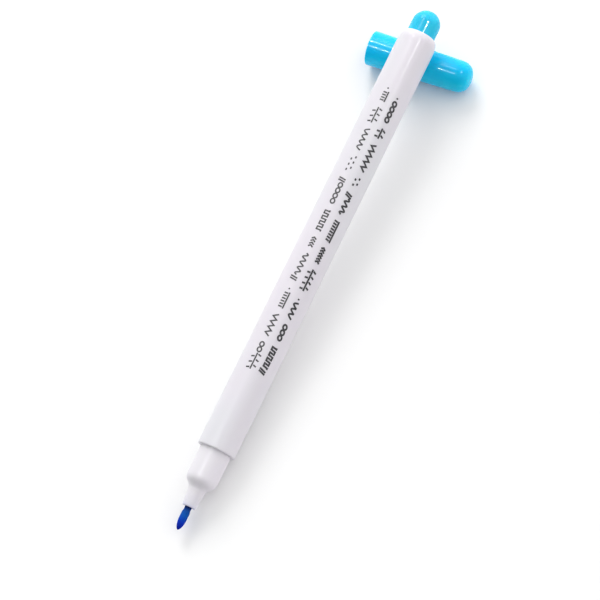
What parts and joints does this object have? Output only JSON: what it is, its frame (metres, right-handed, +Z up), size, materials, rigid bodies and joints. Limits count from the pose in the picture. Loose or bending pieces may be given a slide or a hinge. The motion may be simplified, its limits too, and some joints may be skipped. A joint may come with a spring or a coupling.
{
  "type": "fabric marking pen",
  "caption": "Slender fibre-tip pen for marking fabric, uncapped, its tail resting across its domed push-on cap.",
  "frame": {"origin": "middle of the object's footprint, on the surface that it lies on", "axes": "+X along the pen in plan, from its nib to its tail; +Y across the pen, to the side of the cap's open mouth; +Z up"},
  "size_m": [0.1396, 0.0268, 0.0179],
  "materials": {
    "white_plastic": "opaque white polypropylene with a soft gloss and printed marks",
    "section_plastic": "opaque white polypropylene with a soft gloss",
    "inked_nib": "bonded fibre soaked with blue ink",
    "reservoir_fibre": "lengthwise polyester fibre bundle soaked with ink",
    "clear_film": "clear thin film",
    "plug_plastic": "glossy, slightly translucent light blue polypropylene",
    "cap_plastic": "glossy, slightly translucent light blue polypropylene",
    "natural_plastic": "natural polyethylene, milky and soft"
  },
  "bodies": {
    "pen": {"barrel": "white_plastic", "front_section": "section_plastic", "nib": "inked_nib", "ink_reservoir": "reservoir_fibre", "reservoir_film": "clear_film", "end_plug": "plug_plastic"},
    "cap": {"cap": "cap_plastic", "inner_cap": "natural_plastic"}
  },
  "joints": [
    {"name": "cap_slide", "type": "slide", "parent": "pen", "child": "cap", "axis": [-0.0558, 0.9984, 0], "range_m": [0, 0.03]}
  ]
}
